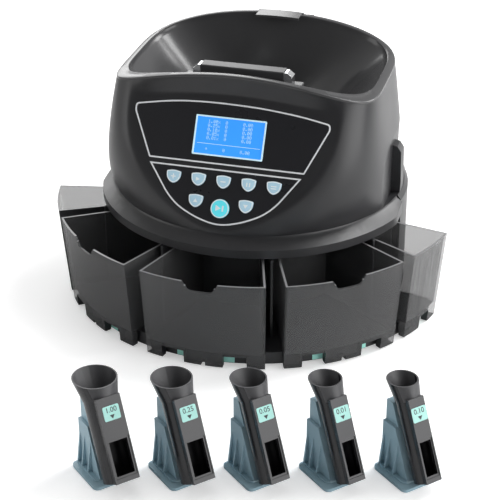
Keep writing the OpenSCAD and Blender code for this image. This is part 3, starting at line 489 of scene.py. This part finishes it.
def rounded_loop(corners):
    """Closed outline through corners [u, v, radius]: each corner is cut by a curve that starts
    and ends at the radius' distance from it and bends towards it (a quadratic curve)."""
    corners = np.array(corners, float)
    before, after = np.roll(corners, 1, 0)[:, :2], np.roll(corners, -1, 0)[:, :2]
    at, radius = corners[:, :2], corners[:, 2:]
    back, ahead = (np.linalg.norm(other - at, axis=1, keepdims=True) for other in (before, after))
    radius = np.minimum(radius, 0.49 * np.minimum(back, ahead))
    start = at + (before - at) / back * radius
    end = at + (after - at) / ahead * radius
    t = np.linspace(0, 1, 9)[None, :, None]
    curve = (1 - t) ** 2 * start[:, None] + 2 * t * (1 - t) * at[:, None] + t ** 2 * end[:, None]
    loop = curve.reshape(-1, 2)
    return loop[np.linalg.norm(loop - np.roll(loop, 1, 0), axis=1) > 1e-4]


def shrunk(corners, amount):
    """Corners [u, v, radius] of a clockwise outline, moved inwards by amount along their
    bisectors. A radius shrinks by amount times the tangent of half its corner's turn."""
    corners = np.array(corners, float)
    ahead = np.roll(corners, -1, 0)[:, :2] - corners[:, :2]
    ahead /= np.linalg.norm(ahead, axis=1, keepdims=True)
    behind = np.roll(ahead, 1, 0)
    bisector = np.stack([ahead[:, 1] + behind[:, 1], -ahead[:, 0] - behind[:, 0]], 1)
    length = np.sum(bisector ** 2, axis=1, keepdims=True)
    at = corners[:, :2] + bisector * amount * 2 / length
    half_turn = np.sqrt(np.maximum(4 / length - 1, 0))
    return np.hstack([at, np.maximum(corners[:, 2:] - amount * half_turn, 0.2)])


def flat_piece(name, loops, low, high, place, material, body):
    """Plate between two heights, filled between its loops, the inner ones being holes. It is
    made as a flat curve, turned into a mesh, and then put in place."""
    curve = bpy.data.curves.new(name, "CURVE")
    curve.dimensions, curve.fill_mode = "2D", "BOTH"
    curve.extrude = (high - low) / 2000
    for loop in loops:
        spline = curve.splines.new("POLY")
        spline.points.add(len(loop) - 1)
        flat = np.c_[np.asarray(loop) / 1000, np.zeros(len(loop)), np.ones(len(loop))]
        spline.points.foreach_set("co", flat.ravel())
        spline.use_cyclic_u = True
    return settled(name, curve, (low + high) / 2, place, material, body)


def settled(name, curve, height, place, material, body):
    """Turns a flat curve or a text into a mesh and moves its points to where place says."""
    source = bpy.data.objects.new(name + "_curve", curve)
    bpy.context.scene.collection.objects.link(source)
    bpy.context.view_layer.update()
    settled_curve = source.evaluated_get(bpy.context.evaluated_depsgraph_get())
    mesh = bpy.data.meshes.new_from_object(settled_curve)
    bpy.data.objects.remove(source)
    points = np.zeros(len(mesh.vertices) * 3)
    mesh.vertices.foreach_get("co", points)
    points = points.reshape(-1, 3) * 1000
    moved = np.stack(place(points[:, 0], points[:, 1], points[:, 2] + height), axis=-1) / 1000
    mesh.vertices.foreach_set("co", moved.ravel())
    mesh.materials.clear()
    mesh.materials.append(material)
    mesh.name = name
    piece = bpy.data.objects.new(name, mesh)
    bpy.context.scene.collection.objects.link(piece)
    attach(piece, body)
    return piece


def key_shape(grow):
    """Shield: a slightly arched top, round shoulders and sides that meet in a round point."""
    half = KEY_W / 2
    corners = [(-half, 5.2, 1.6), (0, 6.6, 6), (half, 5.2, 1.6), (half - 0.6, -1.0, 3.0),
               (half - 2.9, -4.4, 2.0), (0, -6.9, 3.2), (-half + 2.9, -4.4, 2.0), (-half + 0.6, -1.0, 3.0)]
    return rounded_loop(shrunk(corners, -grow))


def disc_loop(radius):
    """Circle, clockwise."""
    turn = -np.arange(64) / 64 * 2 * math.pi
    return np.stack([radius * np.cos(turn), radius * np.sin(turn)], 1)


KEYS = [(i * KEY_PITCH, KEY_ROW) for i in (-2, -1, 0, 1, 2)]
KEYS += [(-KEY_PITCH, KEY_LOW), (KEY_PITCH, KEY_LOW), (0, ROUND_KEY)]


def key_loop(number, grow=0.0):
    """Outline of one key in its own place on the panel. The last key is the round one."""
    shape = disc_loop(ROUND_D / 2 + grow) if number == 7 else key_shape(grow)
    return shape + np.array(KEYS[number])


upper_field = [(-97.6, 4.8, 9), (-58, 11.8, 20), (-20, 13.6, 18), (30, 12.4, 20), (70, 8.2, 20),
               (96.5, 3.4, 9), (97.3, -2.4, 2), (77.5, -46.3, 1), (-77.3, -46.3, 1), (-97.5, -2.5, 2)]
lower_field = [(-76.2, -50.6, 0.5), (75.6, -50.6, 0.5), (54.4, -80.4, 14), (42, -91.0, 8), (22, -100.2, 10),
               (0, -105.2, 11), (-22, -100.2, 10), (-42, -91.0, 8), (-54.4, -80.4, 14)]
film_black = plastic("film_black", (0.019, 0.019, 0.022), 0.28, grain=0.08, grain_size=0.3)
line_white = plastic("line_white", (0.88, 0.9, 0.92), 0.4, grain=0.05)
lcd_loop = np.array([(-LCD_W / 2, 0), (LCD_W / 2, 0), (LCD_W / 2, -LCD_H), (-LCD_W / 2, -LCD_H)])
key_holes = [key_loop(number, KEY_GAP) for number in range(8)]
for label, field, holes in (("upper", upper_field, [lcd_loop]), ("lower", lower_field, key_holes)):
    film = flat_piece(f"film_{label}", [rounded_loop(field), *holes], 0, FILM_T, on_panel, film_black,
                      "machine")
    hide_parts("panel_overlay")
for label, field in (("upper", upper_field), ("lower", lower_field)):
    edges = [rounded_loop(field), rounded_loop(shrunk(field, LINE_W))]
    line = flat_piece(f"white_line_{label}", edges, FILM_T, FILM_T + LINE_T, on_panel, line_white,
                      "machine")
    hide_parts("panel_lines")
dress("panel_board", board_green, 0.2)


def glowing(name, colour, strength):
    """Smooth plastic that also gives off its own colour, with slight clouds. On the display the
    glow is its backlight; on the keys, which hold no lamp, it is painted light.
    """
    material = plastic(name, colour, 0.25, grain=0.0, cloud=0.06)
    shader = material.node_tree.nodes["Principled BSDF"]
    shader.inputs["Emission Color"].default_value = (*colour, 1)
    shader.inputs["Emission Strength"].default_value = strength
    return material


lcd_rim = glowing("lcd_rim", (0.62, 0.85, 0.95), 0.35)
lcd_blue = glowing("lcd_blue", (0.035, 0.26, 0.86), 0.75)
lcd_pale = glowing("lcd_pale", (0.55, 0.78, 0.98), 0.5)
dress("lcd_frame", lcd_rim, 0.25)
dress("lcd_screen", lcd_blue, 0.05)

DOT = 0.36                         # side of one of the display's dots
DOT_PITCH, DOT_DROP = DOT * 1.15, DOT * 1.25
TEXT_LEFT, TEXT_TOP, TEXT_STEP, SUM_TOP = -22.5, -4.4, 4.0, -31.0
RULE_TOP, RULE_END, RULE_T = -27.0, 4.0, 0.4
DIGITS_UP = 0.24                   # height over the panel
GLYPHS = {
    "0": "01110 10001 10011 10101 11001 10001 01110", "1": "00100 01100 00100 00100 00100 00100 01110",
    "2": "01110 10001 00001 00110 01000 10000 11111", "5": "11111 10000 11110 00001 00001 10001 01110",
    "x": "00000 00000 10001 01010 00100 01010 10001", ".": "00000 00000 00000 00000 00000 01100 01100",
    "=": "00000 00000 11111 00000 11111 00000 00000", " ": "00000 00000 00000 00000 00000 00000 00000",
}


def dots(words, left, top):
    """Lower left corners of the lit dots of a line of words, each glyph five by seven dots."""
    grid = np.array([[list(row) for row in GLYPHS[c].split()] for c in words]) == "1"
    letter, row, column = np.nonzero(grid)
    return np.stack([left + (letter * 6 + column) * DOT_PITCH, top - row * DOT_DROP], 1)


lit = [dots(f"{value}x  0      0.00", TEXT_LEFT, TEXT_TOP - row * TEXT_STEP)
       for row, value in enumerate(["1.00", "0.25", "0.10", "0.05", "0.01"])]
lit = np.concatenate([*lit, dots("=      0      0.00", TEXT_LEFT, SUM_TOP)])
corners = np.array([(0, 0), (1, 0), (1, 1), (0, 1)])
spots = (lit[:, None] + corners * DOT).reshape(-1, 2)
rule_size = np.array([LCD_W - 2 * RULE_END, RULE_T])
rule = corners * rule_size + np.array([-LCD_W / 2 + RULE_END, RULE_TOP - RULE_T])
spots = np.concatenate([spots, rule])
spot_points = np.stack(on_panel(spots[:, 0], spots[:, 1], DIGITS_UP), -1) / 1000
digits = bpy.data.meshes.new("lcd_digits")
digits.from_pydata(spot_points.tolist(), [], np.arange(len(spots)).reshape(-1, 4).tolist())
digits.materials.append(lcd_pale)
lcd_digits = bpy.data.objects.new("lcd_digits", digits)
bpy.context.scene.collection.objects.link(lcd_digits)
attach(lcd_digits, "machine")

# The keys hold no lamp: their glow, and that of their pale edges and marks, is painted light.
key_blue = glowing("key_blue", (0.50, 0.74, 0.88), 0.12)
key_cyan = glowing("key_cyan", (0.13, 0.78, 0.90), 0.28)
key_edge = glowing("key_edge", (0.84, 0.92, 0.96), 0.14)
MARKS = [
    [[(-0.6, 2.4), (0.6, 2.4), (0.6, 0.6), (2.4, 0.6), (2.4, -0.6), (0.6, -0.6), (0.6, -2.4),
      (-0.6, -2.4), (-0.6, -0.6), (-2.4, -0.6), (-2.4, 0.6), (-0.6, 0.6)]],
    [[(-2.2, 2), (1.8, 0), (-2.2, -2)]],
    [[(-2.6, 0.6), (2.6, 0.6), (2.6, -0.6), (-2.6, -0.6)]],
    [[(-2, 2), (-0.8, 2), (-0.8, -2), (-2, -2)], [(0.8, 2), (2, 2), (2, -2), (0.8, -2)]],
    [[(-2.8, 1.8), (2.8, 1.8), (2.8, 0.8), (-2.8, 0.8)],
     [(-2.8, -0.4), (2.8, -0.4), (2.8, -1.4), (-2.8, -1.4)]],
    [[(0, 2), (2.3, -1.6), (-2.3, -1.6)]],
    [[(0, -2), (-2.3, 1.6), (2.3, 1.6)]],
    [[(-4.2, 3.2), (1.0, 0.2), (-4.2, -2.8)], [(2.2, 3.0), (3.8, 3.0), (3.8, -2.6), (2.2, -2.6)]],
]
# Side wall, round shoulder and shallow dome of a key, as shares of its outline and heights.
KEY_STEPS = np.array([(1, -4.2), (1, -2), (1, 0.2), (1, KEY_TOP - 0.8), (0.985, KEY_TOP - 0.35),
                      (0.94, KEY_TOP - 0.1), (0.87, KEY_TOP), (0.6, KEY_TOP + 0.12),
                      (0.3, KEY_TOP + 0.18), (0.02, KEY_TOP + 0.2)])
EDGE_OUT, EDGE_IN, EDGE_LOW, EDGE_UP = 0.15, 1.15, 0.35, 0.04
MARK_UP = 0.24                     # how far a mark reaches over the key's top
for number, middle in enumerate(np.array(KEYS)):
    body = f"key_{number + 1}_body"
    finish, slot = (key_cyan, "key_cyan") if number == 7 else (key_blue, "key_blue")
    ring = middle + (key_loop(number) - middle) * KEY_STEPS[:, None, :1]
    rows = np.stack(on_panel(ring[..., 0], ring[..., 1], KEY_STEPS[:, None, 1]), -1)
    cap = skin(f"key_cap_{number + 1}", rows, finish, body, capped=True, sharp=60)
    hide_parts(f"key_{number + 1}")
    edges = [key_loop(number, -EDGE_OUT), key_loop(number, -EDGE_IN)]
    flat_piece(f"key_edge_{number + 1}", edges, KEY_TOP - EDGE_LOW, KEY_TOP + EDGE_UP, on_panel, key_edge,
               body)
    marks = [np.array(mark) + middle for mark in MARKS[number]]
    flat_piece(f"key_mark_{number + 1}", marks, KEY_TOP, KEY_TOP + MARK_UP, on_panel, key_edge, body)

# ---------------------------------------------------------------- hopper
# A grey bowl with a wide flange that closes the housing's top. It tips up about two ears at
# the back, and a black bar between two bright blocks is its handle.
THROAT_R, THROAT_Z, HOPPER_WALL = 52.0, 166.0, 2.4
OPENING_SIDE, OPENING_FRONT, OPENING_BACK = RIM_HALF_W - 8, RIM_FRONT - 6.5, RIM_BACK - 7
OPENING_HALF_D, OPENING_MIDDLE = (OPENING_BACK + OPENING_FRONT) / 2, (OPENING_BACK - OPENING_FRONT) / 2
OPENING_POWER = 4.0
EDGE_R = 0.8                       # round of the flange's inner and outer edges
LEDGE_X, LEDGE_HALF_W, LEDGE_Z = 50.0, 9.0, 241.8
LEDGE_FRONT, LEDGE_BACK, LEDGE_T = -79.0, -50.2, 3.0
hopper_grey = plastic("hopper_grey", (0.06, 0.06, 0.062), 0.22, grain=0.08)
grip_black = plastic("grip_black", (0.045, 0.045, 0.047), 0.38, grain=0.4)
bright = plastic("bright_metal", (0.78, 0.79, 0.8), 0.16, grain=0.05, metal=1.0)


def bowl_sheet(levels, angles, grow):
    """Bowl's wall. Each ring is a superellipse whose half axes, power, middle and height go
    evenly from the throat's circle at level 0 to the squarish opening at 1. grow widens it."""
    k, angle = np.meshgrid(levels, angles, indexing="ij")
    width, depth = mix(THROAT_R, OPENING_SIDE, k) + grow, mix(THROAT_R, OPENING_HALF_D, k) + grow
    r = super_r(width, depth, mix(2, OPENING_POWER, k), angle)
    top = super_r(OPENING_SIDE, OPENING_HALF_D, OPENING_POWER, angle)
    top_x, top_y = top * np.cos(angle), OPENING_MIDDLE + top * np.sin(angle)
    rise = rim_height(top_x, top_y) - FLANGE_T + 0.1
    y = OPENING_MIDDLE * k + r * np.sin(angle)
    return np.stack([r * np.cos(angle), y, mix(THROAT_Z, rise, k)], axis=-1)


def rim_loop(angles, inset, drop):
    """The housing's outline at its rim, moved inwards by inset and down by drop."""
    x, y, _ = outline(1.0, angles, inset)
    return np.stack([x, y, rim_height(x, y) - drop], axis=-1)[None]


spokes = rays(300)
inside = bowl_sheet(np.linspace(0, 1, 22), spokes, 0)
lip_high = inside[-1:] + np.array([0, 0, FLANGE_T - EDGE_R])
flat_edge = rim_loop(spokes, EDGE_R, 0)
to_edge = (flat_edge - lip_high) / np.linalg.norm(flat_edge - lip_high, axis=-1, keepdims=True)
lip_top = lip_high + to_edge * 0.9 + np.array([0, 0, 0.75])
under = bowl_sheet([1.0], spokes, HOPPER_WALL)
outside = bowl_sheet(np.linspace(0.98, 0, 12), spokes, HOPPER_WALL)
# The bowl's rings go up its inside, over the lip and across the flange, down the flange's
# round edge, and back down the outside.
bowl = np.concatenate([inside, lip_high, lip_top, flat_edge, rim_loop(spokes, 0.2, 0.35),
                       rim_loop(spokes, 0, 0.9), rim_loop(spokes, 0, FLANGE_T - 0.1), under, outside])
hopper = skin("hopper_bowl", bowl, hopper_grey, "hopper_body", loop_rows=True, sharp=50)
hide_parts("hopper")
ledge = [(LEDGE_FRONT, LEDGE_Z - LEDGE_T), (LEDGE_BACK, LEDGE_Z - LEDGE_T), (LEDGE_BACK, LEDGE_Z),
         (LEDGE_FRONT, LEDGE_Z)]
for side, label in ((-LEDGE_X, "left"), (LEDGE_X, "right")):
    bar(f"handle_ledge_{label}", ledge, side - LEDGE_HALF_W, side + LEDGE_HALF_W, across_x, hopper_grey,
        "hopper_body", 0.8)
dress("handle_grip", grip_black, 0.9)
dress("handle_brackets", bright, 0.8)
dress("hopper_hinge", hopper_grey, 0.8)
dress("hinge_pin", bare_steel, 0.3)

# ---------------------------------------------------------------- coin tubes and stands
# Five glossy black tubes with a level funnel on top and a window in the lower front, each
# leaning on a slate blue stand. The funnel's faces that look up are painted paler, as painted
# light from above. A mint label on the front gives the coin's value.
COINS = [26.5, 24.3, 21.2, 19.1, 17.9]
VALUES = ["1.00", "0.25", "0.05", "0.01", "0.10"]
# A tube leans back in its stand, each stand is turned on the floor, and so is their row.
TUBE_TILT, STAND_TURN, ROW_TURN = math.radians(25), math.radians(48), math.radians(15.1)
STAND_PITCH, STAND_ROW, LEAN_Y, PLATE_T = 65.4, 366.0, -16.0, 3.0
PLAY, TUBE_WALL, STRIP_OUT, SEAT_GAP = 0.4, 1.2, 1.4, 0.1
PAINTED_LIGHT_FROM = 68.0                 # height over which faces that look up are painted paler, as painted light from above
LABEL_W, LABEL_H, LABEL_T, LABEL_R, LABEL_AT = 15.0, 12.5, 0.35, 1.6, 60.0
VALUE_H, VALUE_UP, ARROW_HALF, ARROW_TOP, ARROW_TIP = 6.2, 2.6, 2.2, 1.6, 5.0
PRINT_LOW, PRINT_UP, PRINT_HALF = 0.3, 0.4, 0.06
tube_black = plastic("tube_black", (0.018, 0.018, 0.021), 0.26, grain=0.0)
# Paler black for the funnels' upward faces: painted light from above.
tube_painted_light = plastic("tube_painted_light", (0.06, 0.06, 0.064), 0.45, grain=0.2)
stand_slate = plastic("stand_slate", (0.34, 0.50, 0.58), 0.42)
label_mint = plastic("label_mint", (0.40, 0.76, 0.70), 0.42, grain=0.05)
print_dark = plastic("print_dark", (0.02, 0.03, 0.035), 0.5, grain=0.05)


def on_tube(number):
    """Returns the function that places a label's across, up and out on the front strip of one
    tube: leant back with the tube, turned with its stand, and moved to the stand's foot."""
    out_r = COINS[number] / 2 + PLAY + TUBE_WALL
    tilt_s, tilt_c = math.sin(TUBE_TILT), math.cos(TUBE_TILT)
    turn_s, turn_c = math.sin(STAND_TURN), math.cos(STAND_TURN)
    row = (number - 2) * STAND_PITCH
    foot = (row * math.cos(ROW_TURN) + STAND_ROW * math.sin(ROW_TURN),
            row * math.sin(ROW_TURN) - STAND_ROW * math.cos(ROW_TURN))
    shift_y = LEAN_Y - out_r * tilt_c - SEAT_GAP
    shift_z = PLATE_T + out_r * tilt_s + SEAT_GAP

    def place(across, up, out):
        front = -(out_r + STRIP_OUT + out)
        y = shift_y + front * tilt_c + up * tilt_s
        z = shift_z - front * tilt_s + up * tilt_c
        return foot[0] + across * turn_c - y * turn_s, foot[1] + across * turn_s + y * turn_c, z
    return place


label_top, label_low = LABEL_AT + LABEL_H / 2, LABEL_AT - LABEL_H / 2
label_loop = rounded_loop([(-LABEL_W / 2, label_top, LABEL_R), (LABEL_W / 2, label_top, LABEL_R),
                           (LABEL_W / 2, label_low, LABEL_R), (-LABEL_W / 2, label_low, LABEL_R)])
arrow = [(-ARROW_HALF, LABEL_AT - ARROW_TOP), (ARROW_HALF, LABEL_AT - ARROW_TOP), (0, LABEL_AT - ARROW_TIP)]
for number in range(5):
    body, place = f"tube_{number + 1}", on_tube(number)
    tube = dress(f"coin_tube_{number + 1}", tube_black, 0.5)
    tube.data.materials.append(tube_painted_light)
    facing, middle = faces_of(tube)
    # High faces that look up get the paler black, painted light from above.
    painted_light_faces = (facing[:, 2] > 0.15) & (middle[:, 2] > PAINTED_LIGHT_FROM)
    tube.data.polygons.foreach_set("material_index", painted_light_faces.astype(np.int32))
    dress(f"tube_stand_{number + 1}", stand_slate, 0.7)
    flat_piece(f"value_label_{number + 1}", [label_loop], 0, LABEL_T, place, label_mint, body)
    words = bpy.data.curves.new(f"value_{number + 1}", "FONT")
    words.body, words.size, words.extrude = VALUES[number], VALUE_H / 1000, PRINT_HALF / 1000
    words.align_x, words.align_y = "CENTER", "CENTER"
    settled(f"value_{number + 1}", words, PRINT_UP,
            lambda across, up, out, p=place: p(across, up + LABEL_AT + VALUE_UP, out), print_dark, body)
    flat_piece(f"value_arrow_{number + 1}", [arrow], PRINT_LOW, PRINT_UP + PRINT_HALF, place, print_dark,
               body)
